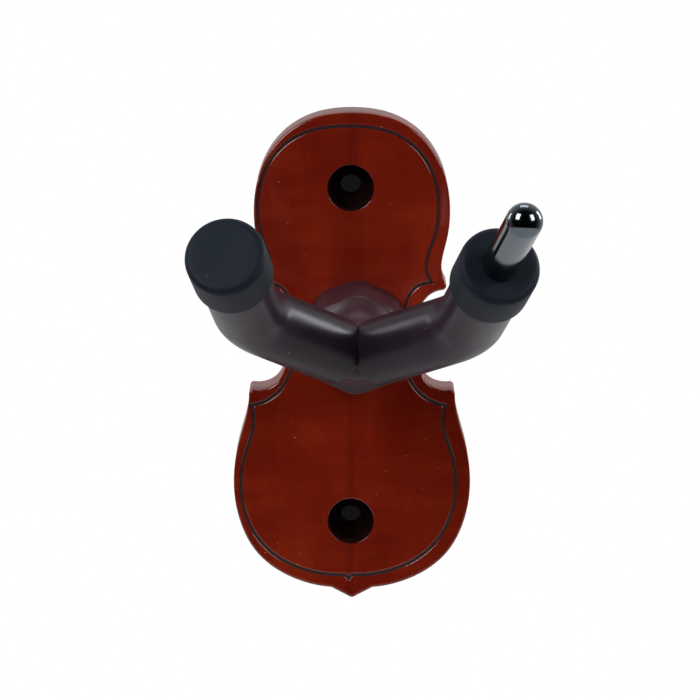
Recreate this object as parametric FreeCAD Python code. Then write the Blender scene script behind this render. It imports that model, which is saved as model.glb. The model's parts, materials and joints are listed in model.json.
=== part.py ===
import FreeCAD, Part
import math
import os

from FreeCAD import Vector

# Wall hanger for a guitar: a violin-shaped wooden backplate with a swivelling, sleeved steel yoke.
# Millimetres. The wall is the plane Y = 0, the front faces -Y, +Z is up and +X is to the right as
# seen from the front. X = 0, Z = 0 lies midway between the two wall screws.
# The pieces are drawn about the stem's axis and moved to their height at the end.

# Where the stem's axis is, measured from the middle of the two wall screws
STEM_X = 2.0
STEM_Z = 7.8

# Backplate. Its outline is drawn about a point a little right of the screws and above their middle.
PLATE_X = 0.4
PLATE_Z = 6.0
PLATE_DEPTH = 18.0
PLATE_ROUNDOVER = 0.7
SCREW_SPACING = 114.0
SCREW_HOLE_R = 3.5
COUNTERBORE_R = 7.6
COUNTERBORE_DEPTH = 9.0
COUNTERBORE_CHAMFER = 0.7
STEM_BORE_R = 7.0
NUT_RECESS_R = 15.0
NUT_RECESS_DEPTH = 10.5
BUSHING_SEAT_R = 10.6

# Right half of the plate's outline, as (half-width, height), top to bottom
UPPER_BOUT = [(0.0, 76.4), (12.7, 74.6), (23.0, 68.6), (30.3, 57.8), (32.9, 45.0), (31.8, 33.0),
              (30.1, 24.6), (31.5, 18.7)]
UPPER_CORNER = [(31.5, 18.7), (31.6, 17.2), (30.5, 16.4)]
WAIST = [(30.5, 16.4), (25.1, 13.7), (22.1, 8.1), (20.8, -0.7), (22.4, -9.5), (26.2, -16.0),
         (29.6, -17.6), (33.2, -17.8)]
LOWER_CORNER = [(33.2, -17.8), (34.4, -18.2), (34.8, -19.4)]
LOWER_BOUT = [(34.8, -19.4), (35.7, -26.4), (38.7, -37.5), (40.1, -50.1), (38.1, -62.8),
              (32.3, -74.0), (21.3, -82.3), (7.0, -86.1)]
TAIL_SHOULDER = (7.0, -86.1)
TAIL_SIDE = (1.3, -89.1)
TAIL_TIP = (0.0, -89.6)

# Inlaid line: its centre, about an axis a little to the left of the plate's
INLAY_X = -0.8
INLAY_WIDTH = 1.1
INLAY_DEPTH = 1.4
INLAY_SUNK = 0.25
ARC_TOLERANCE = 0.1
INLAY_UPPER = [(0.0, 71.8), (11.0, 70.7), (21.5, 65.5), (28.4, 55.5), (30.1, 44.9), (29.0, 34.5),
               (26.2, 25.4), (28.0, 18.8)]
INLAY_WAIST = [(28.0, 18.8), (21.8, 16.5), (18.8, 9.8), (17.5, 0.0), (18.7, -9.5), (23.4, -18.0),
               (28.0, -21.5), (32.8, -23.0)]
INLAY_LOWER = [(32.8, -23.0), (31.8, -28.5), (35.0, -40.0), (36.4, -50.0), (34.4, -62.0),
               (28.0, -72.3), (17.0, -79.2), (1.1, -81.8)]
INLAY_NOTCH = (0.0, -83.1)

# Swivel: stem, bushings and rear hardware
BODY_GAP = 0.3
JOURNAL_R = 5.0
JOURNAL_CLEARANCE = 0.05
BUSHING_FLANGE = 1.2
THREAD_R = 4.0
THREAD_END = 1.2
FLAT_FROM_AXIS = 4.2
REAR_WASHER_R = 12.0
REAR_WASHER_THICKNESS = 1.4
SPRING_R = 9.0
SPRING_HEIGHT = 0.9
SPRING_THICKNESS = 0.5
SPRING_BORE_CLEARANCE = 0.2
NUT_ACROSS_FLATS = 13.0
NUT_HEIGHT = 4.6
NUT_COLLAR_R = 5.7
NUT_COLLAR_HEIGHT = 1.4
NYLON_R = 4.9

# Hub: an eight-lobed collar that narrows to a round neck, with a ball over the rod's bend.
# Distances are forward of the plate.
LOBES = 8
HUB_R = 18.1
HUB_RIM_R = 16.6
HUB_RIM_FORWARD = 25.0
HUB_THROAT_R = 11.5
HUB_THROAT_FORWARD = 28.5
NECK_R = 9.5
NECK_START = 33.5
NECK_TAPER_START = 36.8
NECK_END = 39.5
BALL_R = 7.9
FLUTE_R = 40.0
FLUTE_FLOOR_R = 17.3
FRICTION_WASHER_R = 15.0
FRICTION_WASHER_THICKNESS = 1.0

# Yoke: a bent rod in a plane that rises towards its tips. The arms' axes cross a little below the stem's.
YOKE_FORWARD = 42.0
YOKE_DROP = 1.4
YOKE_RISE = 29.7
YOKE_TURN = 2.1
ARM_SPREAD = 46.0
ARM_LENGTH = 49.7
TIP_SPLAY = 8.0
TIP_LENGTH = 53.7
ELBOW_BEND = 25.0
ROOT_BEND = 8.0
ROD_R = 4.75
SLEEVE_R = 11.0
SLEEVE_START = 8.6
SLEEVE_BORE_R = 4.8
SEAM_GAP = 0.06
CAP_R = 12.7
CAP_LENGTH = 17.5
CAP_WALL = 4.0
CAP_EDGE = 2.6
ROD_SETBACK = 5.0
PEG_R = 5.6
PEG_LENGTH = 42.0
PEG_SHANK_R = 3.0
PEG_SHANK_LENGTH = 16.0

TOLERANCE = 0.01
FORWARD = Vector(0, -1, 0)
STEM_AXIS = Vector(0, 1, 0)
ORIGIN = Vector(0, 0, 0)


def flat(pair):
    """A point of the wall plane from (x, z)."""
    return Vector(pair[0], 0, pair[1])


def mirrored(pair):
    return (-pair[0], pair[1])


def line(a, b):
    return Part.LineSegment(flat(a), flat(b)).toShape()


def curve(pairs):
    """A smooth curve through the points."""
    spline = Part.BSplineCurve()
    spline.interpolate([flat(pair) for pair in pairs])
    return spline


def across(pairs):
    """The points from the middle outwards, with their mirror images before them."""
    return [mirrored(pair) for pair in reversed(pairs[1:])] + pairs


def as_arcs(spline):
    """The curve as a chain of tangent arcs, which can be offset exactly."""
    return [piece.toShape() for piece in spline.toBiArcs(ARC_TOLERANCE)]


def arc(pairs):
    return Part.Arc(flat(pairs[0]), flat(pairs[1]), flat(pairs[2])).toShape()


def closed_wire(right, middle):
    """The right half's edges, their mirror images and any edges on the middle, as one wire."""
    left = [edge.mirror(ORIGIN, Vector(1, 0, 0)) for edge in right]
    return Part.Wire(Part.__sortEdges__(right + middle + left))


def rod(radius, back, front):
    """A cylinder on the stem's axis between two distances in front of the wall."""
    return Part.makeCylinder(radius, front - back, Vector(0, -back, 0), FORWARD)


def ring(outer, inner, back, front):
    return rod(outer, back, front).cut(rod(inner, back, front))


def lathe(profile):
    """A solid of revolution about the stem's axis from (radius, forward) points."""
    corners = [Vector(radius, -forward, 0) for radius, forward in profile]
    face = Part.Face(Part.makePolygon(corners + corners[:1]))
    return face.revolve(ORIGIN, STEM_AXIS, 360)


# ---------------------------------------------------------------- backplate

def plate_outline():
    right = [
        arc(UPPER_CORNER),
        curve(WAIST).toShape(),
        arc(LOWER_CORNER),
        curve(LOWER_BOUT).toShape(),
        line(TAIL_SHOULDER, TAIL_SIDE),
    ]
    middle = [
        curve(across(UPPER_BOUT)).toShape(),
        arc([TAIL_SIDE, TAIL_TIP, mirrored(TAIL_SIDE)]),
    ]
    return closed_wire(right, middle)


def inlay_centreline():
    right = as_arcs(curve(INLAY_WAIST)) + as_arcs(curve(INLAY_LOWER))
    right.append(line(INLAY_LOWER[-1], INLAY_NOTCH))
    wire = closed_wire(right, as_arcs(curve(across(INLAY_UPPER))))
    wire.translate(Vector(INLAY_X - STEM_X, 0, PLATE_Z - STEM_Z))
    return wire


def inlay_strip(depth):
    """The inlaid line as a band of the given depth, behind the plate's front face."""
    centre = inlay_centreline()
    outer = Part.Face(centre.makeOffset2D(INLAY_WIDTH / 2))
    inner = Part.Face(centre.makeOffset2D(-INLAY_WIDTH / 2))
    band = outer.cut(inner)
    band.translate(Vector(0, -(PLATE_DEPTH - INLAY_DEPTH), 0))
    return band.extrude(Vector(0, -depth, 0))


def screw_hole(height):
    """A through hole with a chamfered counterbore, as the solid that is cut away."""
    base = Vector(-STEM_X, 0, height)
    hole = Part.makeCylinder(SCREW_HOLE_R, PLATE_DEPTH, base, FORWARD)
    seat = base + FORWARD * (PLATE_DEPTH - COUNTERBORE_DEPTH)
    hole = hole.fuse(Part.makeCylinder(COUNTERBORE_R, COUNTERBORE_DEPTH, seat, FORWARD))
    rim = base + FORWARD * (PLATE_DEPTH - COUNTERBORE_CHAMFER)
    flare = COUNTERBORE_R + COUNTERBORE_CHAMFER
    return hole.fuse(Part.makeCone(COUNTERBORE_R, flare, COUNTERBORE_CHAMFER, rim, FORWARD))


def backplate():
    outline = plate_outline()
    outline.translate(Vector(PLATE_X - STEM_X, 0, PLATE_Z - STEM_Z))
    plate = Part.Face(outline).extrude(FORWARD * PLATE_DEPTH)
    front = [e for e in plate.Edges if abs(e.BoundBox.YMax + PLATE_DEPTH) < TOLERANCE]
    plate = plate.makeFillet(PLATE_ROUNDOVER, front)
    plate = plate.cut(inlay_strip(INLAY_DEPTH))
    for side in (-1, 1):
        plate = plate.cut(screw_hole(side * SCREW_SPACING / 2 - STEM_Z))
    plate = plate.cut(rod(STEM_BORE_R, 0, PLATE_DEPTH))
    plate = plate.cut(rod(NUT_RECESS_R, 0, NUT_RECESS_DEPTH))
    return plate.cut(rod(BUSHING_SEAT_R, PLATE_DEPTH - BUSHING_FLANGE, PLATE_DEPTH))


def purfling_inlay():
    return inlay_strip(INLAY_DEPTH - INLAY_SUNK)


def bushing(flange_back, flange_front, barrel_back, barrel_front):
    """A flanged nylon bushing that the stem's journal runs in."""
    bore = JOURNAL_R + JOURNAL_CLEARANCE
    flange = ring(BUSHING_SEAT_R, bore, flange_back, flange_front)
    return flange.fuse(ring(STEM_BORE_R, bore, barrel_back, barrel_front)).removeSplitter()


def web_middle():
    """Half way through the wood that is left between the nut recess and the front."""
    return (NUT_RECESS_DEPTH + PLATE_DEPTH) / 2


def front_bushing():
    seat = PLATE_DEPTH - BUSHING_FLANGE
    return bushing(seat, PLATE_DEPTH, web_middle(), seat)


def rear_bushing():
    seat = NUT_RECESS_DEPTH
    return bushing(seat - BUSHING_FLANGE, seat, seat, web_middle() - BODY_GAP)


# ---------------------------------------------------------------- swivel hardware

def washer_front():
    """How far the rear washer's front face is from the wall."""
    return NUT_RECESS_DEPTH - BUSHING_FLANGE - BODY_GAP


def washer_back():
    return washer_front() - REAR_WASHER_THICKNESS


def nut_front():
    return washer_back() - SPRING_HEIGHT


def yoke_corner():
    """The point where the axes of the two arms cross."""
    return FORWARD * (PLATE_DEPTH + YOKE_FORWARD) + Vector(0, 0, -YOKE_DROP)


def swivel_stem():
    """Round journal, flat for the hub, threaded tail; its front end is fitted to the yoke's rod."""
    stem = rod(JOURNAL_R, washer_front(), PLATE_DEPTH + YOKE_FORWARD + ROD_R / 2)
    stem = stem.fuse(rod(THREAD_R, THREAD_END, washer_front())).removeSplitter()
    length = NECK_TAPER_START - HUB_RIM_FORWARD
    corner = Vector(FLAT_FROM_AXIS, -PLATE_DEPTH - NECK_TAPER_START, -JOURNAL_R)
    flat_cut = Part.makeBox(JOURNAL_R, length, 2 * JOURNAL_R, corner)
    return stem.cut(flat_cut).cut(yoke_rod())


def rear_washer():
    return ring(REAR_WASHER_R, THREAD_R, washer_back(), washer_front())


def spring_washer():
    """A coned disc: its rim bears on the washer and its bore on the nut."""
    inner = THREAD_R + SPRING_BORE_CLEARANCE
    rise = SPRING_HEIGHT - SPRING_THICKNESS
    low = nut_front()
    profile = [(inner, low), (inner, low + SPRING_THICKNESS),
               (SPRING_R, low + SPRING_THICKNESS + rise), (SPRING_R, low + rise)]
    return lathe(profile)


def nut_collar_front():
    return nut_front() - NUT_HEIGHT


def lock_nut():
    across_corners = NUT_ACROSS_FLATS / math.cos(math.pi / 6)
    points = []
    for corner in range(6):
        angle = corner * math.pi / 3
        x = across_corners / 2 * math.cos(angle)
        z = across_corners / 2 * math.sin(angle)
        points.append(Vector(x, -nut_collar_front(), z))
    outline = Part.makePolygon(points + points[:1])
    hexagon = Part.Face(outline).extrude(FORWARD * NUT_HEIGHT)
    collar = ring(NUT_COLLAR_R, NYLON_R, nut_collar_front() - NUT_COLLAR_HEIGHT, nut_collar_front())
    return hexagon.fuse(collar).cut(rod(THREAD_R, 0, nut_front()))


def nylon_ring():
    return ring(NYLON_R, THREAD_R, nut_collar_front() - NUT_COLLAR_HEIGHT, nut_collar_front())


def friction_washer():
    back = PLATE_DEPTH + BODY_GAP
    return ring(FRICTION_WASHER_R, JOURNAL_R, back, back + FRICTION_WASHER_THICKNESS)


# ---------------------------------------------------------------- hub

def hub_blank():
    """The collar before its flutes: a tapered skirt, a hollow-curved front, a neck and a ball."""
    def at(radius, forward):
        return Vector(radius, -PLATE_DEPTH - forward, 0)
    base = at(HUB_R, BODY_GAP)
    rim = at(HUB_RIM_R, HUB_RIM_FORWARD)
    throat = at(HUB_THROAT_R, HUB_THROAT_FORWARD)
    neck = at(NECK_R, NECK_START)
    taper = at(NECK_R, NECK_TAPER_START)
    edges = [
        Part.makeLine(at(0, BODY_GAP), base),
        Part.makeLine(base, rim),
        Part.Arc(rim, throat, neck).toShape(),
        Part.makeLine(neck, taper),
        Part.makeLine(taper, at(0, NECK_TAPER_START)),
        Part.makeLine(at(0, NECK_TAPER_START), at(0, BODY_GAP)),
    ]
    collar = Part.Face(Part.Wire(edges)).revolve(ORIGIN, STEM_AXIS, 360)
    return collar.fuse([neck_shoulder(), Part.makeSphere(BALL_R, yoke_corner())])


def neck_shoulder():
    """The short sloping part between the round neck and the ball, which is a little lower."""
    before_corner = YOKE_FORWARD - NECK_END
    radius = math.sqrt(BALL_R ** 2 - before_corner ** 2)
    wide = Part.makeCircle(NECK_R, FORWARD * (PLATE_DEPTH + NECK_TAPER_START), FORWARD)
    narrow = Part.makeCircle(radius, yoke_corner() - FORWARD * before_corner, FORWARD)
    return Part.makeLoft([Part.Wire(wide), Part.Wire(narrow)], True, True)


def flute(angle):
    """A long cylinder that lies along the skirt's slope and hollows out one flute."""
    taper = math.atan2(HUB_R - HUB_RIM_R, HUB_RIM_FORWARD)
    reach = 2 * HUB_RIM_FORWARD
    start = Vector(FLUTE_FLOOR_R + FLUTE_R / math.cos(taper), -PLATE_DEPTH, 0)
    slope = Vector(-math.sin(taper), -math.cos(taper), 0)
    cutter = Part.makeCylinder(FLUTE_R, 2 * reach, start - slope * reach, slope)
    cutter.rotate(ORIGIN, STEM_AXIS, angle)
    return cutter


def hub_collar():
    hub = hub_blank()
    pitch = 360 / LOBES
    for index in range(LOBES):
        hub = hub.cut(flute(index * pitch + pitch / 2))
    hub = hub.cut(rod(FRICTION_WASHER_R, PLATE_DEPTH, PLATE_DEPTH + BODY_GAP + FRICTION_WASHER_THICKNESS))
    return hub.cut(swivel_stem()).cut(yoke_rod())


# ---------------------------------------------------------------- yoke

def leg(side):
    """Unit direction of the first leg of one arm, in the yoke's own plane."""
    spread = math.radians(ARM_SPREAD)
    return Vector(side * math.cos(spread), -math.sin(spread), 0)


def tip(side):
    splay = math.radians(TIP_SPLAY)
    return Vector(side * math.sin(splay), -math.cos(splay), 0)


def elbow(side):
    return leg(side) * ARM_LENGTH


def tip_point(side, distance):
    """A point of the tip's axis at a distance beyond the elbow's corner."""
    return elbow(side) + tip(side) * distance


def rounded_path(corners, bends):
    """Straight runs joined by tangent arcs: bends holds the radius at each inner corner."""
    edges = []
    here = corners[0]
    for before, corner, after, bend in zip(corners, corners[1:], corners[2:], bends):
        inward = (before - corner).normalize()
        outward = (after - corner).normalize()
        half = inward.getAngle(outward) / 2
        setback = bend / math.tan(half)
        middle = (inward + outward).normalize()
        nearest = bend / math.sin(half) - bend
        first = corner + inward * setback
        last = corner + outward * setback
        edges.append(Part.makeLine(here, first))
        edges.append(Part.Arc(first, corner + middle * nearest, last).toShape())
        here = last
    edges.append(Part.makeLine(here, corners[-1]))
    return Part.Wire(edges)


def round_bar(path, radius):
    start = path.Edges[0].Vertexes[0].Point
    direction = path.Edges[0].Vertexes[1].Point - start
    section = Part.Wire(Part.makeCircle(radius, start, direction))
    return path.makePipeShell([section], True, False)


def in_place(shape):
    """Turns a piece drawn in the yoke's flat plane to its rise and carries it to the yoke's corner."""
    shape.rotate(ORIGIN, Vector(1, 0, 0), -YOKE_RISE)
    shape.translate(yoke_corner())
    return shape


def rod_end():
    return TIP_LENGTH - ROD_SETBACK


def yoke_rod():
    """The bent steel rod. Its right end is tapped for the peg."""
    corners = [tip_point(-1, rod_end()), elbow(-1), ORIGIN, elbow(1), tip_point(1, rod_end())]
    bar = round_bar(rounded_path(corners, [ELBOW_BEND, ROOT_BEND, ELBOW_BEND]), ROD_R)
    tapping = Part.makeCylinder(PEG_SHANK_R, PEG_SHANK_LENGTH, tip_point(1, TIP_LENGTH), tip(1) * -1)
    return in_place(bar.cut(tapping))


def arm_sleeve(side):
    """A thick rubber tube on one arm. The two sleeves press flat against each other in front."""
    corners = [leg(side) * SLEEVE_START, elbow(side), tip_point(side, TIP_LENGTH - CAP_WALL)]
    path = rounded_path(corners, [ELBOW_BEND])
    sleeve = round_bar(path, SLEEVE_R).cut(round_bar(path, SLEEVE_BORE_R))
    reach = 2 * SLEEVE_R
    seam = side * SEAM_GAP / 2
    corner = Vector(min(seam, seam - side * reach), -reach, -reach)
    beyond_seam = Part.makeBox(reach, 2 * reach, 2 * reach, corner)
    return in_place(sleeve.cut(beyond_seam))


def end_cap(side, peg_hole):
    """A rubber cup pressed over the sleeve's end, with a rounded front edge."""
    face = tip_point(side, TIP_LENGTH)
    back = tip(side) * -1
    cap = Part.makeCylinder(CAP_R, CAP_LENGTH, face, back)
    circles = [e for e in cap.Edges if e.Length > CAP_R]
    front_edge = [e for e in circles if (e.CenterOfMass - face).Length < TOLERANCE]
    cap = cap.makeFillet(CAP_EDGE, front_edge)
    cap = cap.cut(Part.makeCylinder(SLEEVE_R, CAP_LENGTH, face + back * CAP_WALL, back))
    if peg_hole:
        cap = cap.cut(Part.makeCylinder(PEG_SHANK_R, CAP_WALL, face, back))
    return in_place(cap)


def accessory_peg():
    """A round-nosed peg that screws through the right cap into the rod's tapped end."""
    face = tip_point(1, TIP_LENGTH)
    peg = Part.makeCylinder(PEG_R, PEG_LENGTH - PEG_R, face, tip(1))
    peg = peg.fuse(Part.makeSphere(PEG_R, face + tip(1) * (PEG_LENGTH - PEG_R)))
    shank = Part.makeCylinder(PEG_SHANK_R, PEG_SHANK_LENGTH, face, tip(1) * -1)
    return in_place(peg.fuse(shank).removeSplitter())


# ---------------------------------------------------------------- writing the pieces

def fixed_pieces():
    return {
        "backplate": backplate(),
        "purfling_inlay": purfling_inlay(),
        "front_bushing": front_bushing(),
        "rear_bushing": rear_bushing(),
    }


def turning_pieces():
    return {
        "friction_washer": friction_washer(),
        "hub_collar": hub_collar(),
        "swivel_stem": swivel_stem(),
        "rear_washer": rear_washer(),
        "spring_washer": spring_washer(),
        "lock_nut": lock_nut(),
        "nylon_ring": nylon_ring(),
        "yoke_rod": yoke_rod(),
        "left_arm_sleeve": arm_sleeve(-1),
        "right_arm_sleeve": arm_sleeve(1),
        "left_end_cap": end_cap(-1, False),
        "right_end_cap": end_cap(1, True),
        "accessory_peg": accessory_peg(),
    }


def write(name, shape):
    shape.translate(Vector(STEM_X, 0, STEM_Z))
    shape.exportStep("parts/" + name + ".step")
    print(name, len(shape.Solids), "solid", round(shape.Volume), "mm3", shape.isValid())


def main():
    os.makedirs("parts", exist_ok=True)
    for name, shape in fixed_pieces().items():
        write(name, shape)
    for name, shape in turning_pieces().items():
        shape.rotate(ORIGIN, STEM_AXIS, YOKE_TURN)
        write(name, shape)


main()
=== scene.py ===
import json
import math

import bmesh
import bpy
import numpy as np
from mathutils import Matrix, Vector
from mathutils.geometry import delaunay_2d_cdt

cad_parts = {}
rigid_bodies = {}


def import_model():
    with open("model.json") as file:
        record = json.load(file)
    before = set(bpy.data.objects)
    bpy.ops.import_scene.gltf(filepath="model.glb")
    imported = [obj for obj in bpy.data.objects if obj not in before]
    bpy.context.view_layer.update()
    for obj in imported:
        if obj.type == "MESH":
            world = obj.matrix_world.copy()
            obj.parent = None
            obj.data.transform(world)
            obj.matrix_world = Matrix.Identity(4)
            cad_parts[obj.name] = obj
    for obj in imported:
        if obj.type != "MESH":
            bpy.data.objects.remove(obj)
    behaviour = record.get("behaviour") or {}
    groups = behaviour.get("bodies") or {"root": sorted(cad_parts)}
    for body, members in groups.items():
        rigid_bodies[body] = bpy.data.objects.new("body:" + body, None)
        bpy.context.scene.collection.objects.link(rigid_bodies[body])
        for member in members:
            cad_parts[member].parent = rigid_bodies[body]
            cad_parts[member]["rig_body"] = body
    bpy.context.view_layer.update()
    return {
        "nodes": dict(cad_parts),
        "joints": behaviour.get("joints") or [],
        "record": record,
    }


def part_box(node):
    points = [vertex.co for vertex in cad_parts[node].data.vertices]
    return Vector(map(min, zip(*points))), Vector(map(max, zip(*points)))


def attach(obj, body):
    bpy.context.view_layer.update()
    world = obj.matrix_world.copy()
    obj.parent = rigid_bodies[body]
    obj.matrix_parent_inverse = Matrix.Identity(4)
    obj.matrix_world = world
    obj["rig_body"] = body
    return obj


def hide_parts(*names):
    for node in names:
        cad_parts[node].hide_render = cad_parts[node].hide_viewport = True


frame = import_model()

# Sizes are in millimetres and are scaled to metres when a piece is made. The wall is the plane
# Y = 0, the front faces -Y and +Z is up.
MM = 0.001

# Plate
ROUNDOVER = 0.7
BACK_EDGE = 0.35
RIM_ROUND = 0.5
COUNTERBORE_R = 7.6
COUNTERBORE_DEPTH = 9.0
SCREW_HOLE_R = 3.5
SCREW_HEIGHT = 57.0
BUSHING_SEAT_R = 10.6
BUSHING_SEAT_DEPTH = 1.2
STEM_BORE_R = 7.0
NUT_RECESS_R = 15.0
NUT_RECESS_DEPTH = 10.5

# Hub, with distances forward of the plate
HUB_START = 0.3
HUB_R = 18.1
HUB_RIM_R = 16.6
HUB_RIM_FORWARD = 25.0
HUB_THROAT_R = 11.5
HUB_THROAT_FORWARD = 28.5
NECK_R = 9.5
NECK_START = 33.5
NECK_TAPER_START = 36.8
NECK_END = 39.5
BALL_R = 7.9
FLUTE_R = 40.0
FLUTE_FLOOR_R = 17.3
LOBES = 8
WASHER_SEAT_R = 15.0
WASHER_SEAT_DEPTH = 1.0

# Yoke, drawn in its own flat plane: X across, -Y forward, Z out of the plane
YOKE_FORWARD = 42.0
YOKE_DROP = 1.4
YOKE_RISE = 29.7
YOKE_TURN = 2.1
ARM_SPREAD = 46.0
ARM_LENGTH = 49.7
TIP_SPLAY = 8.0
TIP_LENGTH = 53.7
ELBOW_BEND = 25.0
SLEEVE_R = 11.0
SLEEVE_BORE_R = 4.8
SLEEVE_START = 8.6
SLEEVE_EDGE = 0.7
FIRST_STATION = 14.0
SEAM_GAP = 0.06
CAP_R = 12.7
CAP_LENGTH = 17.5
CAP_WALL = 4.0
CAP_EDGE = 2.6
PEG_SHANK_R = 3.0
PEG_SHANK_LENGTH = 16.0
# The caps' radius and the peg's length are this much smaller, to stay inside the CAD's coarser mesh
HAIR = 0.03

# Rear hardware
THREAD_BORE_R = 4.05
NUT_HALF_FLATS = 6.5
NUT_COLLAR_HEIGHT = 1.4

# Plate mesh: points round a hole, the longest step along an outline, the depth of the groove's floor
AROUND_HOLE = 96
OUTLINE_STEP = 0.8
GROOVE_FLOOR = 1.0


def node_box(name):
    """A CAD node's lowest and highest corners in millimetres."""
    low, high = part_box(name)
    return low / MM, high / MM


nodes = frame["nodes"]
stem = Vector(frame["joints"][0]["pos_m"]) / MM
plate_low, plate_high = node_box("backplate")
PLATE_DEPTH = plate_high.y - plate_low.y

AT_STEM = Matrix.Translation(stem)
AT_HUB = AT_STEM @ Matrix.Rotation(math.radians(YOKE_TURN), 4, "Y")
AT_YOKE = AT_HUB @ Matrix.Translation((0, -PLATE_DEPTH - YOKE_FORWARD, -YOKE_DROP))
AT_YOKE = AT_YOKE @ Matrix.Rotation(math.radians(-YOKE_RISE), 4, "X")


# ---------------------------------------------------------------- node helpers


class Shader:
    """A material being wired up: nodes are added by type, and sockets are set or linked by name."""

    def __init__(self, name):
        self.material = bpy.data.materials.new(name)
        self.material.use_nodes = True
        self.tree = self.material.node_tree
        self.tree.nodes.clear()
        self.output = self.tree.nodes.new("ShaderNodeOutputMaterial")
        self.bsdf = self.tree.nodes.new("ShaderNodeBsdfPrincipled")
        self.link(self.bsdf.outputs["BSDF"], self.output.inputs["Surface"])
        self.coordinates = self.tree.nodes.new("ShaderNodeTexCoord").outputs["Object"]

    def link(self, source, target):
        self.tree.links.new(source, target)

    def node(self, kind, **properties):
        made = self.tree.nodes.new("ShaderNode" + kind)
        for key, value in properties.items():
            setattr(made, key, value)
        return made

    def set(self, socket, value):
        if isinstance(value, bpy.types.NodeSocket):
            self.link(value, socket)
        elif isinstance(value, tuple) and len(value) == 3:
            socket.default_value = (*value, 1.0)
        else:
            socket.default_value = value

    def put(self, **values):
        for name, value in values.items():
            self.set(self.bsdf.inputs[name.replace("_", " ")], value)

    def stretched(self, scale, turn=(0.0, 0.0, 0.0)):
        mapping = self.node("Mapping")
        mapping.inputs["Scale"].default_value = scale
        mapping.inputs["Rotation"].default_value = turn
        self.link(self.coordinates, mapping.inputs["Vector"])
        return mapping.outputs["Vector"]

    def axis(self, letter):
        split = self.node("SeparateXYZ")
        self.link(self.coordinates, split.inputs[0])
        return split.outputs[letter]

    def from_screw(self):
        """The distance in millimetres from the axis of the nearer screw hole."""
        height = self.node("Math", operation="ABSOLUTE")
        self.link(self.axis("Z"), height.inputs[0])
        offset = self.node("CombineXYZ")
        self.link(self.axis("X"), offset.inputs["X"])
        screw = SCREW_HEIGHT * MM
        self.link(self.span(height.outputs[0], 0.0, screw, -screw, 0.0, False), offset.inputs["Z"])
        length = self.node("VectorMath", operation="LENGTH")
        self.link(offset.outputs[0], length.inputs[0])
        return self.times(length.outputs["Value"], 1 / MM)

    def noise(self, scale, detail=4.0, rough=0.55, warp=0.0, vector=None):
        made = self.node("TexNoise")
        settings = {"Scale": scale, "Detail": detail, "Roughness": rough, "Distortion": warp}
        for name, value in settings.items():
            made.inputs[name].default_value = value
        self.link(vector or self.coordinates, made.inputs["Vector"])
        return made.outputs["Fac"]

    def specks(self, scale, size):
        """1 in small round specks scattered at random, 0 elsewhere."""
        cells = self.node("TexVoronoi")
        cells.inputs["Scale"].default_value = scale
        self.link(self.coordinates, cells.inputs["Vector"])
        return self.span(cells.outputs["Distance"], size * 0.4, size, 1.0, 0.0)

    def ramp(self, factor, stops):
        made = self.node("ValToRGB")
        elements = made.color_ramp.elements
        while len(elements) < len(stops):
            elements.new(0.5)
        for element, (place, colour) in zip(elements, stops):
            element.position = place
            element.color = (*colour, 1.0)
        self.link(factor, made.inputs["Fac"])
        return made.outputs["Color"]

    def span(self, factor, low, high, out_low, out_high, clamp=True):
        made = self.node("MapRange", clamp=clamp)
        names = ("From Min", "From Max", "To Min", "To Max")
        for name, value in zip(names, (low, high, out_low, out_high)):
            made.inputs[name].default_value = value
        self.link(factor, made.inputs["Value"])
        return made.outputs["Result"]

    def times(self, first, second):
        made = self.node("Math", operation="MULTIPLY")
        self.set(made.inputs[0], first)
        self.set(made.inputs[1], second)
        return made.outputs[0]

    def mix(self, factor, first, second, blend="MIX"):
        made = self.node("Mix", data_type="RGBA", blend_type=blend)
        self.set(made.inputs[0], factor)
        self.set(made.inputs[6], first)
        self.set(made.inputs[7], second)
        return made.outputs[2]

    def bump(self, height, strength, distance, below=None):
        made = self.node("Bump")
        made.inputs["Strength"].default_value = strength
        made.inputs["Distance"].default_value = distance
        self.link(height, made.inputs["Height"])
        if below is not None:
            self.link(below, made.inputs["Normal"])
        return made.outputs["Normal"]


def srgb(red, green, blue):
    """A linear colour from display values of 0 to 255."""
    out = []
    for value in (red, green, blue):
        c = value / 255
        out.append(c / 12.92 if c <= 0.04045 else ((c + 0.055) / 1.055) ** 2.4)
    return tuple(out)


# ------------------------------------------------------------------- materials


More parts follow.
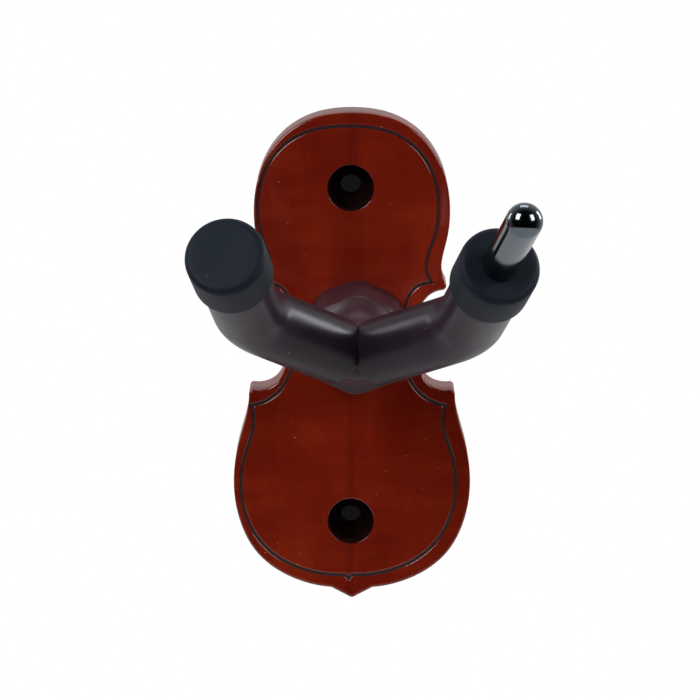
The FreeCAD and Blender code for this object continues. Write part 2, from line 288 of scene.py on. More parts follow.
def lacquered_wood():
    """Red-brown stain under clear lacquer. The back is bare wood; the screw holes are unlacquered, and their
    very dark colour is painted shade.
    """
    s = Shader("lacquered_wood")
    figure = s.noise(1.0, detail=4.0, rough=0.5, warp=0.8, vector=s.stretched((38, 38, 16)))
    colour = s.ramp(figure, [(0.32, srgb(92, 18, 7)), (0.52, srgb(103, 23, 9)), (0.7, srgb(117, 31, 12))])
    flame = s.noise(1.0, detail=2.0, vector=s.stretched((30, 30, 120)))
    colour = s.mix(s.span(flame, 0.45, 0.7, 0.0, 0.22), colour, srgb(134, 44, 18))
    upright = s.noise(1.0, detail=4.0, vector=s.stretched((260, 260, 9)))
    colour = s.mix(s.span(upright, 0.5, 0.75, 0.0, 0.3), colour, srgb(78, 14, 8))
    middle = s.node("Math", operation="ABSOLUTE")
    s.link(s.axis("X"), middle.inputs[0])
    heart = s.times(s.span(middle.outputs[0], 0.0, 0.007, 0.6, 0.0), s.span(upright, 0.35, 0.65, 0.2, 1.0))
    colour = s.mix(heart, colour, srgb(74, 12, 8))
    pores = s.noise(1.0, detail=3.0, vector=s.stretched((1500, 1500, 260)))
    colour = s.mix(s.span(pores, 0.3, 0.45, 0.3, 0.0), colour, srgb(84, 14, 7))
    dust = s.specks(330.0, 0.1)
    patchy = s.times(dust, s.span(s.noise(45.0), 0.5, 0.6, 0.0, 0.6))
    colour = s.mix(patchy, colour, srgb(205, 120, 90))
    bare = s.span(s.axis("Y"), -0.0004, -0.0001, 0.0, 1.0)
    grain = s.noise(1.0, detail=5.0, vector=s.stretched((420, 420, 22)))
    colour = s.mix(bare, colour, s.ramp(grain, [(0.3, srgb(120, 62, 38)), (0.7, srgb(165, 98, 62))]))
    # Painted shade: the wood within the counterbore's radius of each screw hole is coloured near-black,
    # standing in for the shade inside the holes; the lacquer is also taken off there.
    bore_bare_and_shaded = s.span(s.from_screw(), COUNTERBORE_R + 0.1, COUNTERBORE_R + 0.4, 1.0, 0.0)
    colour = s.mix(bore_bare_and_shaded, colour, s.ramp(grain, [(0.3, srgb(20, 9, 8)), (0.7, srgb(32, 15, 12))]))
    s.put(Base_Color=colour, Roughness=s.span(pores, 0.3, 0.7, 0.5, 0.62), Specular_IOR_Level=0.0)
    lacquer = s.times(s.span(bare, 0.0, 1.0, 1.0, 0.1), s.span(bore_bare_and_shaded, 0.0, 1.0, 1.0, 0.0))
    facing = s.node("SeparateXYZ")
    s.link(s.node("NewGeometry").outputs["Normal"], facing.inputs[0])
    lacquer = s.times(lacquer, s.span(facing.outputs["Y"], -0.95, -0.6, 1.0, 0.4))
    s.put(Coat_Weight=lacquer, Coat_Roughness=0.06, Coat_IOR=1.5)
    ripple = s.bump(s.noise(90.0, detail=2.0), 0.12, 0.0002)
    s.put(Normal=s.bump(pores, 0.1, 0.00003, ripple))
    return s.material


def black_inlay():
    s = Shader("black_inlay")
    grain = s.noise(900.0)
    s.put(Base_Color=s.ramp(grain, [(0.3, srgb(14, 5, 5)), (0.7, srgb(30, 9, 8))]), Coat_Weight=0.3)
    s.put(Roughness=s.span(grain, 0.3, 0.7, 0.35, 0.5), Coat_Roughness=0.08)
    s.put(Normal=s.bump(grain, 0.2, 0.00004))
    return s.material


def moulded(name, low, high, rough_low, rough_high, shine=0.5):
    """Moulded plastic: faint flow marks in colour and sheen over a fine tooled grain."""
    s = Shader(name)
    flow = s.noise(70.0, detail=3.0, warp=0.6)
    fine = s.noise(2600.0, detail=2.0)
    s.put(Base_Color=s.ramp(flow, [(0.3, low), (0.7, high)]), Specular_IOR_Level=shine)
    s.put(Roughness=s.span(flow, 0.3, 0.7, rough_low, rough_high), Normal=s.bump(fine, 0.12, 0.00003))
    return s.material


def rubber(name, low, high, rough_low, rough_high, dust_colour, dust_size, shine):
    """Smooth rubber: soft handling marks, a very fine skin and a little light dust."""
    s = Shader(name)
    marks = s.noise(55.0, detail=5.0, rough=0.65)
    skin = s.noise(2200.0, detail=2.0)
    dust = s.times(s.specks(260.0, dust_size), s.span(s.noise(60.0), 0.52, 0.62, 0.0, 0.7))
    colour = s.ramp(marks, [(0.3, low), (0.7, high)])
    s.put(Base_Color=s.mix(dust, colour, dust_colour), Specular_IOR_Level=shine)
    s.put(Roughness=s.span(marks, 0.3, 0.7, rough_low, rough_high))
    s.put(Normal=s.bump(skin, 0.1, 0.00003, s.bump(marks, 0.15, 0.0001)))
    return s.material


def metal(name, low, high, rough_low, rough_high, scale=500.0):
    """Plated or polished metal with faint cloudy variation and fine scratches."""
    s = Shader(name)
    cloud = s.noise(scale, detail=5.0, rough=0.7)
    scratch = s.noise(1.0, detail=2.0, vector=s.stretched((300, 4000, 300), (0.3, 0.2, 0.1)))
    s.put(Base_Color=s.ramp(cloud, [(0.3, low), (0.7, high)]), Metallic=1.0)
    s.put(Roughness=s.span(cloud, 0.3, 0.7, rough_low, rough_high), Normal=s.bump(scratch, 0.04, 0.00002))
    return s.material


MATERIALS = {
    "lacquered_wood": lacquered_wood(),
    "black_inlay": black_inlay(),
    "nylon": moulded("nylon", srgb(214, 208, 192), srgb(228, 223, 209), 0.38, 0.5),
    "hub_polymer": moulded("hub_polymer", srgb(46, 25, 29), srgb(59, 34, 38), 0.36, 0.46, 0.22),
    "zinc_steel": metal("zinc_steel", (0.50, 0.52, 0.55), (0.64, 0.65, 0.66), 0.24, 0.4),
    "blue_nylon": moulded("blue_nylon", srgb(18, 62, 150), srgb(26, 74, 165), 0.35, 0.45),
    "black_steel": metal("black_steel", srgb(30, 30, 32), srgb(44, 44, 46), 0.3, 0.45),
    "sleeve_rubber": rubber("sleeve_rubber", srgb(35, 25, 33), srgb(43, 32, 41), 0.27, 0.36,
                            srgb(215, 205, 200), 0.07, 0.17),
    "cap_rubber": rubber("cap_rubber", srgb(10, 17, 25), srgb(14, 23, 33), 0.5, 0.62,
                         srgb(120, 130, 140), 0.05, 0.13),
    "smoked_chrome": metal("smoked_chrome", (0.10, 0.115, 0.13), (0.12, 0.135, 0.15), 0.1, 0.14, 60.0),
}
for entry in frame["record"]["subparts"]:
    for slot in nodes[entry["node"]].material_slots:
        slot.material = MATERIALS[entry["material_slot"]]
SLOTS = {entry["node"]: entry["material_slot"] for entry in frame["record"]["subparts"]}


# ----------------------------------------------------------------- making pieces


def body_of(node):
    return nodes[node]["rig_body"]


def make_piece(name, points, faces, node, place, sharp=38.0):
    """A closed mesh from points in millimetres that stands for one CAD node."""
    mesh = bpy.data.meshes.new(name)
    mesh.from_pydata([place @ Vector(p) * MM for p in points], [], faces)
    work = bmesh.new()
    work.from_mesh(mesh)
    bmesh.ops.remove_doubles(work, verts=work.verts, dist=0.002 * MM)
    bmesh.ops.dissolve_degenerate(work, edges=work.edges, dist=0.0005 * MM)
    bmesh.ops.recalc_face_normals(work, faces=work.faces)
    work.to_mesh(mesh)
    work.free()
    mesh.shade_smooth()
    mesh.set_sharp_from_angle(angle=math.radians(sharp))
    made = bpy.data.objects.new(name, mesh)
    bpy.context.scene.collection.objects.link(made)
    mesh.materials.append(MATERIALS[SLOTS[node]])
    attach(made, body_of(node))
    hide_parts(node)


def soften(profile, closed=False, steps=5):
    """A profile of (along, radius, cut) corners with each corner rounded over its cut length."""
    out = []
    count = len(profile)
    for index, (along, radius, cut) in enumerate(profile):
        here = Vector((along, radius))
        if cut == 0 or (not closed and index in (0, count - 1)):
            out.append(tuple(here))
            continue
        before = Vector(profile[index - 1][:2])
        after = Vector(profile[(index + 1) % count][:2])
        start = here + (before - here).normalized() * cut
        end = here + (after - here).normalized() * cut
        for step in range(steps + 1):
            t = step / steps
            out.append(tuple(start * (1 - t) ** 2 + here * 2 * t * (1 - t) + end * t ** 2))
    return out


def bridge(first, second):
    """Faces between two rings of point numbers; either ring may be a single point."""
    count = max(len(first), len(second))
    faces = []
    for k in range(count):
        n = (k + 1) % count
        if len(first) == 1:
            faces.append((first[0], second[n], second[k]))
        elif len(second) == 1:
            faces.append((first[k], first[n], second[0]))
        else:
            faces.append((first[k], first[n], second[n], second[k]))
    return faces


def loft(rings, closed=False):
    """Points and faces through rings of points; a ring of one point closes an end."""
    points = []
    numbers = []
    for ring in rings:
        numbers.append(list(range(len(points), len(points) + len(ring))))
        points += ring
    pairs = list(zip(numbers, numbers[1:]))
    if closed:
        pairs.append((numbers[-1], numbers[0]))
    faces = []
    for first, second in pairs:
        faces += bridge(first, second)
    return points, faces


def circle(radius, along, count, centre=(0.0, 0.0)):
    """A ring about the Y direction, as 3-D points."""
    if radius == 0:
        return [(centre[0], along, centre[1])]
    ring = []
    for k in range(count):
        angle = 2 * math.pi * k / count
        ring.append((centre[0] + radius * math.cos(angle), along, centre[1] + radius * math.sin(angle)))
    return ring


def spin(profile, count, closed=False):
    """A surface of revolution about the Y direction from (along, radius) points."""
    return loft([circle(radius, along, count) for along, radius in profile], closed)


# -------------------------------------------------------------------- backplate


def face_loops(node, depth):
    """The boundary loops, in (x, z) millimetres, of the part of a CAD node's mesh at Y = depth."""
    mesh = nodes[node].data
    seen = {}
    for face in mesh.polygons:
        places = [mesh.vertices[i].co / MM for i in face.vertices]
        if any(abs(p.y - depth) > 0.004 for p in places):
            continue
        keys = [(round(p.x, 3), round(p.z, 3)) for p in places]
        for a, b in zip(keys, keys[1:] + keys[:1]):
            if a != b:
                seen[frozenset((a, b))] = seen.get(frozenset((a, b)), 0) + 1
    links = {}
    for pair, times in seen.items():
        if times % 2 == 1:
            a, b = sorted(pair)
            links.setdefault(a, []).append(b)
            links.setdefault(b, []).append(a)
    loops = []
    while links:
        start = min(links)
        loop = [start]
        here = start
        while True:
            onward = links[here]
            step = onward.pop()
            links[step].remove(here)
            if not onward:
                del links[here]
            if step == start:
                if not links[start]:
                    del links[start]
                break
            loop.append(step)
            here = step
        loops.append(loop)
    return sorted((anticlockwise(loop) for loop in loops), key=area, reverse=True)


def area(loop):
    a = np.array(loop)
    b = np.roll(a, -1, axis=0)
    return float(np.sum(a[:, 0] * b[:, 1] - b[:, 0] * a[:, 1])) / 2


def anticlockwise(loop):
    return loop if area(loop) > 0 else loop[::-1]


def even_steps(loop, longest):
    """The loop with extra points on its long edges."""
    out = []
    for a, b in zip(loop, loop[1:] + loop[:1]):
        steps = max(1, math.ceil(math.dist(a, b) / longest))
        for k in range(steps):
            out.append((a[0] + (b[0] - a[0]) * k / steps, a[1] + (b[1] - a[1]) * k / steps))
    return out


def distance_to(points, loop):
    """The distance of each point from a closed loop."""
    p = np.array(points)[:, None, :]
    a = np.array(loop)[None, :, :]
    edge = np.roll(a, -1, axis=1) - a
    t = np.clip(((p - a) * edge).sum(2) / np.maximum((edge ** 2).sum(2), 1e-12), 0, 1)
    return np.sqrt((((p - a) - edge * t[:, :, None]) ** 2).sum(2)).min(1)


def inset(loop, distance):
    """An anticlockwise loop moved inwards; a negative distance moves it outwards."""
    if distance == 0:
        return loop
    a = np.array(loop)
    ahead = np.roll(a, -1, axis=0) - a
    ahead /= np.maximum(np.linalg.norm(ahead, axis=1, keepdims=True), 1e-9)
    behind = np.roll(ahead, 1, axis=0)
    normal = np.stack([-(ahead + behind)[:, 1], (ahead + behind)[:, 0]], 1)
    normal /= np.maximum(np.linalg.norm(normal, axis=1, keepdims=True), 1e-9)
    left = np.stack([-ahead[:, 1], ahead[:, 0]], 1)
    mitre = 1 / np.maximum((normal * left).sum(1), 0.45)
    moved = a + normal * (mitre * distance)[:, None]
    keep = distance_to(moved, loop) > 0.97 * abs(distance)
    return [tuple(p) for p in moved[keep]]


def inside(points, loop):
    x, z = np.array(points).T[:, :, None]
    a = np.array(loop)
    b = np.roll(a, -1, axis=0)
    crosses = (a[:, 1] > z) != (b[:, 1] > z)
    rise = np.where(b[:, 1] == a[:, 1], 1e-12, b[:, 1] - a[:, 1])
    return ((crosses & (x < (b[:, 0] - a[:, 0]) * (z - a[:, 1]) / rise + a[:, 0])).sum(1) % 2) == 1


def sheet(loops, keep):
    """Triangles over flat loops given as (points, depth); keep() picks them by their centres."""
    flat, depths, edges = [], [], []
    for loop, depth in loops:
        first = len(flat)
        flat += [Vector(p) for p in loop]
        depths += [depth] * len(loop)
        edges += [(first + k, first + (k + 1) % len(loop)) for k in range(len(loop))]
    made, _, triangles, origins, _, _ = delaunay_2d_cdt(flat, edges, [], 0, 1e-5)
    given = np.array(flat)
    points = []
    for place, origin in zip(made, origins):
        source = origin[0] if origin else int(((given - np.array(place)) ** 2).sum(1).argmin())
        points.append((place.x, depths[source], place.y))
    centres = [tuple(sum((Vector((points[i][0], points[i][2])) for i in t), Vector((0, 0))) / 3)
               for t in triangles]
    wanted = keep(centres)
    return points, [tuple(t) for t, w in zip(triangles, wanted) if w]


def flat_circle(radius, centre):
    return [(x, z) for x, _, z in circle(radius, 0, AROUND_HOLE, centre)]


def backplate():
    """The plate: rounded outline, grooved front, bored and counterbored holes, recessed back."""
    front = -PLATE_DEPTH
    back_loops = face_loops("backplate", 0.0)
    outline = even_steps(back_loops[0], OUTLINE_STEP)
    inlay_top = node_box("purfling_inlay")[0].y
    groove = face_loops("purfling_inlay", inlay_top)
    groove_out, groove_in = (even_steps(loop, OUTLINE_STEP) for loop in groove)
    screws = []
    for loop in back_loops[1:]:
        middle = np.array(loop).mean(0)
        if math.dist(middle, (stem.x, stem.z)) > NUT_RECESS_R:
            screws.append(tuple(middle))
    hub_centre = (stem.x, stem.z)

    loops = []
    for angle in (0, 12, 30, 50, 70, 90):
        turn = math.radians(angle)
        edge = inset(outline, ROUNDOVER * (1 - math.cos(turn)))
        loops.append((edge, front + ROUNDOVER * (1 - math.sin(turn))))
    loops.append((inset(outline, ROUNDOVER + 0.25), front))
    lip = ((-0.14, 0.4), (-0.1, 0.27), (-0.03, 0.17), (0.06, 0.09), (0.17, 0.03), (0.3, 0.0), (0.5, 0.0))
    for out, depth in lip:
        loops.append((inset(groove_out, -out), front + depth))
        loops.append((inset(groove_in, out), front + depth))
    rim = []
    for angle in (0, 25, 50, 70, 90):
        turn = math.radians(angle)
        radius = COUNTERBORE_R + RIM_ROUND * (1 - math.cos(turn))
        rim.append((radius, front + RIM_ROUND * (1 - math.sin(turn))))
    for centre in screws:
        loops += [(flat_circle(radius, centre), depth) for radius, depth in rim]
        loops.append((flat_circle(COUNTERBORE_R + RIM_ROUND + 0.3, centre), front))
    loops.append((flat_circle(BUSHING_SEAT_R, hub_centre), front))
    band_out = inset(groove_out, -lip[0][0])
    band_in = inset(groove_in, lip[0][0])

    def on_front(centres):
        keep = inside(centres, outline) & ~(inside(centres, band_out) & ~inside(centres, band_in))
        for centre in screws:
            keep &= ~inside(centres, flat_circle(COUNTERBORE_R, centre))
        return keep & ~inside(centres, flat_circle(BUSHING_SEAT_R, hub_centre))

    points, faces = sheet(loops, on_front)

    def add(more):
        first = len(points)
        points.extend(more[0])
        faces.extend(tuple(i + first for i in face) for face in more[1])

    def at(loop, depth):
        return [(x, depth, z) for x, z in loop]

    floor = front + GROOVE_FLOOR
    add(loft([at(band_out, front + lip[0][1]), at(band_out, floor)]))
    add(loft([at(band_in, front + lip[0][1]), at(band_in, floor)]))
    add(sheet([(band_out, floor), (band_in, floor)],
              lambda centres: inside(centres, band_out) & ~inside(centres, band_in)))

    edge = inset(outline, BACK_EDGE)
    add(loft([at(outline, front + ROUNDOVER), at(outline, -BACK_EDGE)]))
    back = [(outline, -BACK_EDGE), (inset(outline, BACK_EDGE * 0.3), -BACK_EDGE * 0.3), (edge, 0.0),
            (inset(outline, BACK_EDGE + 0.3), 0.0)]
    holes = [(flat_circle(SCREW_HOLE_R + 0.25, centre), 0.0) for centre in screws]
    holes.append((flat_circle(NUT_RECESS_R + 0.3, hub_centre), 0.0))

    def on_back(centres):
        keep = inside(centres, outline)
        for loop, _ in holes:
            keep &= ~inside(centres, loop)
        return keep

    add(sheet(back + holes, on_back))
    for centre in screws:
        step = front + COUNTERBORE_DEPTH
        bore = soften([(front + RIM_ROUND, COUNTERBORE_R, 0), (step, COUNTERBORE_R, 0.5),
                       (step, SCREW_HOLE_R, 0.25), (-0.25, SCREW_HOLE_R, 0), (0.0, SCREW_HOLE_R + 0.25, 0)])
        add(loft([circle(radius, along, AROUND_HOLE, centre) for along, radius in bore]))
    seat = front + BUSHING_SEAT_DEPTH
    recess = soften([(front, BUSHING_SEAT_R, 0), (seat, BUSHING_SEAT_R, 0), (seat, STEM_BORE_R, 0),
                     (-NUT_RECESS_DEPTH, STEM_BORE_R, 0), (-NUT_RECESS_DEPTH, NUT_RECESS_R, 0.5),
                     (-0.3, NUT_RECESS_R, 0), (0.0, NUT_RECESS_R + 0.3, 0)])
    add(loft([circle(radius, along, AROUND_HOLE, hub_centre) for along, radius in recess]))
    make_piece("wooden_backplate", points, faces, "backplate", Matrix.Identity(4), 50.0)


# -------------------------------------------------------------------------- hub


def smaller(a, b, soft):
    """The smaller of two lengths, blended where they are close."""
    return (a + b - math.sqrt((a - b) ** 2 + soft ** 2)) / 2


def flute_radius(angle, forward):
    """Distance from the hub's axis to the wall of the flute at an angle from the flute's middle."""
    taper = math.atan2(HUB_R - HUB_RIM_R, HUB_RIM_FORWARD)
    wide = FLUTE_R / math.cos(taper)
    middle = FLUTE_FLOOR_R + wide - forward * math.tan(taper)
    a = (math.cos(angle) / wide) ** 2 + (math.sin(angle) / FLUTE_R) ** 2
    b = middle * math.cos(angle) / wide ** 2
    c = (middle / wide) ** 2 - 1
    return (b - math.sqrt(max(b * b - a * c, 0))) / a


def arc_through(first, middle, last, count):
    """Points of a circle's arc through three points."""
    a, b, c = (complex(*p) for p in (first, middle, last))
    w = (c - a) / (b - a)
    centre = (b - a) * (w - abs(w) ** 2) / (2j * w.imag) + a
    radius = abs(a - centre)
    start = math.atan2((a - centre).imag, (a - centre).real)
    swing = math.atan2((c - centre).imag, (c - centre).real) - start
    swing = (swing + math.pi) % (2 * math.pi) - math.pi
    out = []
    for k in range(count + 1):
        angle = start + swing * k / count
        out.append((centre.real + radius * math.cos(angle), centre.imag + radius * math.sin(angle)))
    return out


def ball_radius(forward):
    """The radius of the ball's section at a distance forward of the plate."""
    return math.sqrt(BALL_R ** 2 - (YOKE_FORWARD - forward) ** 2)


def hub_profile():
    """(forward, radius) along the hub's outside before its flutes, from the plate to the ball's front."""
    first = HUB_START + 0.45
    profile = [(HUB_START, HUB_R - 0.4), (HUB_START + 0.12, HUB_R - 0.12), (first, HUB_R - 0.1)]
    for k in range(1, 15):
        forward = first + (HUB_RIM_FORWARD - first) * k / 15
        profile.append((forward, HUB_R + (HUB_RIM_R - HUB_R) * forward / HUB_RIM_FORWARD))
    rim = (HUB_RIM_FORWARD, HUB_RIM_R)
    throat = (HUB_THROAT_FORWARD, HUB_THROAT_R)
    profile += arc_through(rim, throat, (NECK_START, NECK_R), 28)[1:-1]
    profile += [(NECK_START + 0.8 * k, NECK_R) for k in range(3)]
    past_neck = NECK_END + 0.6
    shoulder = [(NECK_START, NECK_R, 0), (NECK_TAPER_START, NECK_R, 0.8),
                (NECK_END, ball_radius(NECK_END), 0.5), (past_neck, ball_radius(past_neck), 0)]
    profile += soften(shoulder)[1:]
    swing = math.atan2(ball_radius(NECK_END), NECK_END - YOKE_FORWARD)
    for k in range(1, 12):
        angle = swing * (1 - k / 12)
        forward = YOKE_FORWARD + BALL_R * math.cos(angle)
        if forward > NECK_END + 0.7:
            profile.append((forward, BALL_R * math.sin(angle)))
    return profile + [(YOKE_FORWARD + BALL_R, 0.0)]


def hub():
    """The fluted collar, its neck and the slightly lower ball over the rod's bend."""
    count = LOBES * 24
    pitch = 2 * math.pi / LOBES
    under = HUB_START + WASHER_SEAT_DEPTH
    seat_r = WASHER_SEAT_R + 0.1
    rings = [[(0.0, -PLATE_DEPTH - under, 0.0)]]
    for forward, radius in ((under, 5.2), (under, seat_r), (HUB_START, seat_r)):
        rings.append(circle(radius, -PLATE_DEPTH - forward, count))
    for forward, radius in hub_profile():
        share = (forward - NECK_TAPER_START) / (NECK_END - NECK_TAPER_START)
        drop = YOKE_DROP * min(max(share, 0), 1)
        if radius == 0:
            rings.append([(0.0, -PLATE_DEPTH - forward, -drop)])
            continue
        ring = []
        for k in range(count):
            angle = 2 * math.pi * k / count
            r = radius
            if forward < NECK_START:
                limit = flute_radius((angle % pitch) - pitch / 2, forward)
                r = smaller(radius, limit, 0.35) if limit < radius + 3 else radius
            ring.append((r * math.cos(angle), -PLATE_DEPTH - forward, r * math.sin(angle) - drop))
        rings.append(ring)
    points, faces = loft(rings)
    make_piece("fluted_hub", points, faces, "hub_collar", AT_HUB, 60.0)


# ------------------------------------------------------------------------- yoke


def leg(side):
    """Unit direction of the first leg of one arm: side is -1 on the left and 1 on the right."""
    spread = math.radians(ARM_SPREAD)
    return Vector((side * math.cos(spread), -math.sin(spread), 0))


def tip(side):
    """Unit direction of the arm beyond its elbow."""
    splay = math.radians(TIP_SPLAY)
    return Vector((side * math.sin(splay), -math.cos(splay), 0))


def arm_stations(side, last):
    """(centre, direction, distance) along an arm's axis, from the root to a distance past the elbow."""
    half = leg(side).angle(tip(side)) / 2
    setback = ELBOW_BEND * math.tan(half)
    stations = []
    straight = ARM_LENGTH - setback
    for k in range(17):
        d = FIRST_STATION + (straight - FIRST_STATION) * k / 16
        stations.append((leg(side) * d, leg(side), d))
    corner = leg(side) * ARM_LENGTH
    inner = (tip(side) - leg(side)).normalized()
    centre = corner + inner * (ELBOW_BEND / math.cos(half))
    first = leg(side) * straight - centre
    axis = first.cross(leg(side)).normalized()
    for k in range(1, 25):
        turn = Matrix.Rotation(2 * half * k / 24, 3, axis)
        stations.append((centre + turn @ first, turn @ leg(side), straight + k))
    start = corner + tip(side) * setback
    run = last - setback
    for k in range(1, 13):
        stations.append((start + tip(side) * run * k / 12, tip(side), straight + 24 + k))
    return stations


def arm_sleeve(side, name, node):
    """A thick tube on one arm, cut flat where it meets the other sleeve."""
    count = 128
    up = Vector((0, 0, 1))
    spread = math.radians(ARM_SPREAD)
    towards_seam = Vector((-side * math.sin(spread), -math.cos(spread), 0))

    def root(radius, angle, further):
        """A point of the root end, which is square except where it meets the other sleeve."""
        height = radius * math.cos(angle)
        seam = (SEAM_GAP / 2 + height * math.sin(spread)) / math.cos(spread)
        start = -smaller(-SLEEVE_START, -seam, 0.25)
        lateral = towards_seam * height + up * radius * math.sin(angle)
        return tuple(leg(side) * (start + further) + lateral)

    def root_ring(radius, further):
        return [root(radius, 2 * math.pi * k / count, further) for k in range(count)]

    rings = [root_ring(SLEEVE_BORE_R, 0.4), root_ring(SLEEVE_BORE_R + 0.4, 0.0)]
    for radius in (7.0, 9.0, SLEEVE_R - SLEEVE_EDGE - 0.3):
        rings.append(root_ring(radius, 0.0))
    for step in range(6):
        turn = math.pi / 2 * step / 5
        radius = SLEEVE_R - SLEEVE_EDGE * (1 - math.sin(turn))
        rings.append(root_ring(radius, SLEEVE_EDGE * (1 - math.cos(turn))))
    stations = arm_stations(side, TIP_LENGTH - CAP_WALL)
    last_root = rings[-1]
    first = station_ring(stations[0], SLEEVE_R, side, count)
    for k in range(1, 5):
        t = k / 5
        rings.append([tuple(Vector(a).lerp(Vector(b), t)) for a, b in zip(last_root, first)])
    rings += [station_ring(station, SLEEVE_R, side, count) for station in stations]
    rings += [station_ring(station, SLEEVE_BORE_R, side, count) for station in reversed(stations)]
    points, faces = loft(rings, closed=True)
    make_piece(name, points, faces, node, AT_YOKE, 60.0)


def station_ring(station, radius, side, count):
    """A ring square to an arm's axis."""
    centre, direction, _ = station
    up = Vector((0, 0, 1))
    across = Vector((side * direction.y, -side * direction.x, 0)).normalized()
    ring = []
    for k in range(count):
        angle = 2 * math.pi * k / count
        ring.append(tuple(centre + across * radius * math.cos(angle) + up * radius * math.sin(angle)))
    return ring


def at_tip(side):
    """Carries a piece drawn about +Y, with +Y pointing back from the cap's face, to an arm's tip."""
    face = leg(side) * ARM_LENGTH + tip(side) * TIP_LENGTH
    turn = Vector((0, 1, 0)).rotation_difference(-tip(side)).to_matrix().to_4x4()
    return AT_YOKE @ Matrix.Translation(face) @ turn


def end_cap(side, name, node, bore):
    """A moulded cup with a soft front edge, a very slightly dished face and a lipped mouth."""
    radius = CAP_R - HAIR
    outside = [(0.0, radius, CAP_EDGE), (CAP_LENGTH, radius, 0.5), (CAP_LENGTH, SLEEVE_R + 0.02, 0.3)]
    inside_corners = [(CAP_WALL, SLEEVE_R + 0.02, 0)]
    if bore:
        start = [(CAP_WALL, bore, 0), (0.0, bore, 0.3)]
        end = [(CAP_WALL, bore, 0)]
    else:
        start = [(0.12, 0.0, 0), (0.1, 4.0, 0), (0.03, 7.5, 0)]
        end = [(CAP_WALL, 0.0, 0)]
    profile = soften(start + outside + inside_corners + end, steps=9)
    points, faces = spin(profile, 128)
    make_piece(name, points, faces, node, at_tip(side), 50.0)


def peg():
    """A round-nosed polished pin, with a fine turned groove where it meets the cap."""
    pin = next(m for m in frame["record"]["mounts"] if m["kind"] == "pin")
    radius = pin["dims"]["r_mm"]
    straight = pin["dims"]["length_mm"] - HAIR
    end = PEG_SHANK_LENGTH
    profile = [(end, 0.0), (end, PEG_SHANK_R - 0.4), (end - 0.4, PEG_SHANK_R), (0.02, PEG_SHANK_R),
               (0.0, radius - 0.5), (-0.12, radius - 0.18), (-0.4, radius)]
    profile += [(-straight * k / 8, radius) for k in range(1, 9)]
    for k in range(1, 25):
        angle = math.pi / 2 * k / 24
        profile.append((-straight - radius * math.sin(angle), radius * math.cos(angle)))
    profile[-1] = (-straight - radius, 0.0)
    points, faces = spin(profile, 128)
    make_piece("round_peg", points, faces, "accessory_peg", at_tip(1), 50.0)


# ---------------------------------------------------------------- rear hardware


def rear_washer():
    low, high = node_box("rear_washer")
    outer = (high.x - low.x) / 2
    profile = [(low.y, THREAD_BORE_R, 0.15), (low.y, outer, 0.3),
               (high.y, outer, 0.3), (high.y, THREAD_BORE_R, 0.15)]
    points, faces = spin(soften(profile, closed=True, steps=4), 96, closed=True)
    make_piece("plain_washer", points, faces, "rear_washer", AT_HUB, 50.0)


def lock_nut():
    """A hexagon chamfered on both faces, with the crimped collar that holds the nylon ring."""
    low, high = node_box("lock_nut")
    count = 144
    collar_start = high.y - NUT_COLLAR_HEIGHT
    chamfer = ((0.0, 6.3), (0.12, 6.6), (0.3, 6.95), (0.45, 7.2), (0.6, 7.6))
    rows = [(low.y + inward, radius, True) for inward, radius in chamfer]
    rows += [(collar_start - inward, radius, True) for inward, radius in reversed(chamfer)]
    collar = [(collar_start, 5.9), (collar_start + 0.15, 5.72), (collar_start + 0.9, 5.7),
              (high.y - 0.2, 5.55), (high.y, 5.3), (high.y, 5.0), (high.y - 0.15, 4.92),
              (collar_start, 4.9), (collar_start, THREAD_BORE_R), (low.y + 0.4, THREAD_BORE_R), (low.y, 4.4)]
    rows += [(along, radius, False) for along, radius in collar]
    rings = []
    for along, radius, hexagonal in rows:
        ring = []
        for k in range(count):
            angle = 2 * math.pi * k / count
            from_flat = (angle % (math.pi / 3)) - math.pi / 6
            r = min(radius, NUT_HALF_FLATS / math.cos(from_flat)) if hexagonal else radius
            ring.append((r * math.cos(angle), along, r * math.sin(angle)))
        rings.append(ring)
    points, faces = loft(rings, closed=True)
    make_piece("hex_lock_nut", points, faces, "lock_nut", AT_HUB, 24.0)


# ------------------------------------------------------------------------ stage


def world():
    """White to the camera; as light, bright behind the object and dark in front."""
    made = bpy.data.worlds.new("studio")
    bpy.context.scene.world = made
    made.use_nodes = True
    tree = made.node_tree
    tree.nodes.clear()
    output = tree.nodes.new("ShaderNodeOutputWorld")
    seen = tree.nodes.new("ShaderNodeBackground")
    lit = tree.nodes.new("ShaderNodeBackground")
    mix = tree.nodes.new("ShaderNodeMixShader")
    path = tree.nodes.new("ShaderNodeLightPath")
    place = tree.nodes.new("ShaderNodeTexCoord")
    split = tree.nodes.new("ShaderNodeSeparateXYZ")
    fade = tree.nodes.new("ShaderNodeMapRange")
    fade.interpolation_type = "SMOOTHSTEP"
    settings = {"From Min": -0.4, "From Max": 0.9, "To Min": 0.005, "To Max": 0.9}
    for name, value in settings.items():
        fade.inputs[name].default_value = value
    seen.inputs["Color"].default_value = (1, 1, 1, 1)
    tree.links.new(place.outputs["Generated"], split.inputs[0])
    tree.links.new(split.outputs["Y"], fade.inputs["Value"])
    tree.links.new(fade.outputs["Result"], lit.inputs["Strength"])
    tree.links.new(path.outputs["Is Camera Ray"], mix.inputs["Fac"])
    tree.links.new(lit.outputs[0], mix.inputs[1])
    tree.links.new(seen.outputs[0], mix.inputs[2])
    tree.links.new(mix.outputs[0], output.inputs["Surface"])


def area_light(name, place, aim, size, power):
    """A slightly cool rectangular softbox that points at a place."""
    data = bpy.data.lights.new(name, "AREA")
    data.shape = "RECTANGLE"
    data.size, data.size_y = size
    data.energy = power
    data.color = (0.94, 0.96, 1.0)
    light = bpy.data.objects.new(name, data)
    light.location = place
    light.rotation_euler = (Vector(aim) - Vector(place)).to_track_quat("-Z", "Y").to_euler()
    bpy.context.scene.collection.objects.link(light)


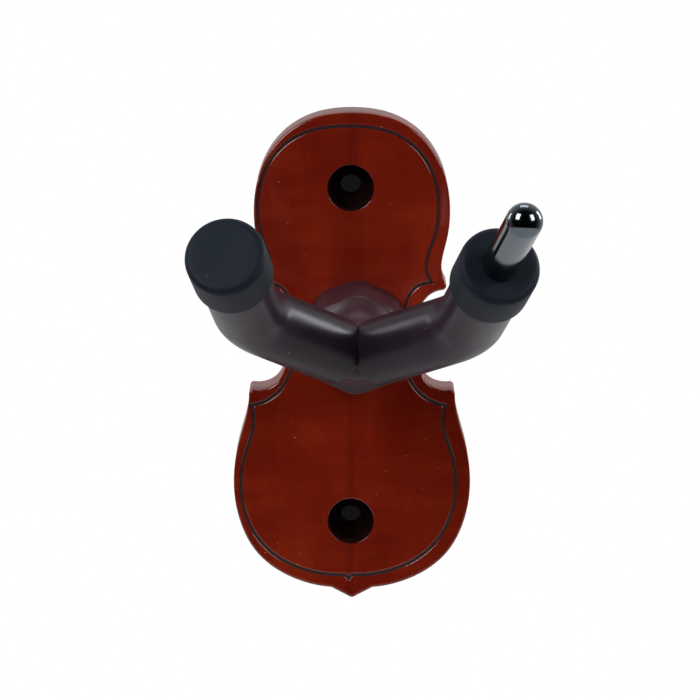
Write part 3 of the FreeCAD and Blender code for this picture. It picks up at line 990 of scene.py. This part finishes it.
CAMERA_RISE = math.radians(9.8)
CAMERA_AIM = Vector((-0.00025, -0.018, 0.002))
CAMERA_DISTANCE = 1.28
# Distance and radius, in metres, of the dark discs that stand in for the shade seen through the screw holes
SHADE_CARD_DISTANCE = 2.0
SHADE_CARD_R = 0.013
# Name, place, the point it is aimed at, size in metres and power in watts
LIGHTS = (
    ("left_softbox", (-0.75, -0.85, 0.75), (0, -0.05, 0), (0.5, 0.7), 16),
    ("right_softbox", (0.85, -0.75, 0.55), (0, -0.05, 0), (0.4, 0.6), 8),
    ("right_strip", (0.82, 0.24, 0.33), (0, -0.08, 0.02), (0.14, 0.45), 4.5),
    ("left_strip", (-0.82, 0.24, 0.33), (0, -0.08, 0.02), (0.14, 0.4), 1.6),
    ("top_softbox", (0.05, 0.25, 0.95), (0, -0.04, 0.02), (0.5, 0.3), 2),
)


def camera():
    """A long lens, straight in front and a little above."""
    data = bpy.data.cameras.new("camera")
    data.sensor_width = 36.0
    data.lens = 195.2
    data.clip_start = 0.01
    made = bpy.data.objects.new("camera", data)
    back = Vector((0, -math.cos(CAMERA_RISE), math.sin(CAMERA_RISE)))
    made.location = CAMERA_AIM + CAMERA_DISTANCE * back
    made.rotation_euler = (CAMERA_AIM - made.location).to_track_quat("-Z", "Y").to_euler()
    bpy.context.scene.collection.objects.link(made)
    bpy.context.scene.camera = made
    return made


def stage_material(name, colour, fade_start, fade_end):
    """Matt paint that turns into plain white light between two distances from the middle."""
    s = Shader(name)
    length = s.node("VectorMath", operation="LENGTH")
    s.link(s.coordinates, length.inputs[0])
    mottle = s.noise(6.0)
    s.put(Base_Color=s.ramp(mottle, [(0.3, colour), (0.7, tuple(c * 0.985 for c in colour))]), Roughness=0.9)
    glow = s.node("Emission")
    both = s.node("MixShader")
    s.link(s.span(length.outputs["Value"], fade_start, fade_end, 0.0, 1.0), both.inputs[0])
    s.link(s.bsdf.outputs[0], both.inputs[1])
    s.link(glow.outputs[0], both.inputs[2])
    s.link(both.outputs[0], s.output.inputs["Surface"])
    return s.material


def disc(name, place, turn, radius, material):
    """A flat round stage piece, which faces along Y until it is turned."""
    mesh = bpy.data.meshes.new(name)
    points, faces = loft([circle(radius * k / 8, 0, 96) for k in range(9)])
    mesh.from_pydata(points, [], faces)
    mesh.materials.append(material)
    made = bpy.data.objects.new(name, mesh)
    made.location = place
    made.rotation_euler = turn
    bpy.context.scene.collection.objects.link(made)


def floor():
    disc("floor", (0, -0.05, -0.36), (math.radians(90), 0, 0), 0.78,
         stage_material("floor_paint", (0.7, 0.7, 0.7), 0.45, 0.77))


def hole_shade_cards(eye):
    """Two dark cards far behind the plate, on the camera's lines through the two screw holes: painted shade
    for what is seen through them.
    """
    # Painted shade: near-black discs that stand in for a shadowed wall behind the screw holes.
    black = moulded("painted_shade_card", srgb(18, 17, 20), srgb(24, 22, 26), 0.8, 0.9)
    for loop in face_loops("backplate", 0.0)[1:]:
        middle = np.array(loop).mean(0)
        if math.dist(middle, (stem.x, stem.z)) > NUT_RECESS_R:
            hole = Vector((middle[0], -PLATE_DEPTH / 2, middle[1])) * MM
            away = (hole - eye).normalized()
            disc("hole_shade_card", hole + away * SHADE_CARD_DISTANCE, (0, 0, 0), SHADE_CARD_R, black)


backplate()
hub()
arm_sleeve(-1, "left_sleeve", "left_arm_sleeve")
arm_sleeve(1, "right_sleeve", "right_arm_sleeve")
end_cap(-1, "left_cap", "left_end_cap", 0)
end_cap(1, "right_cap", "right_end_cap", PEG_SHANK_R + 0.02)
peg()
rear_washer()
lock_nut()

world()
eye = camera()
floor()
hole_shade_cards(eye.location)
bpy.context.scene.view_settings.view_transform = "Standard"
for light in LIGHTS:
    area_light(*light)
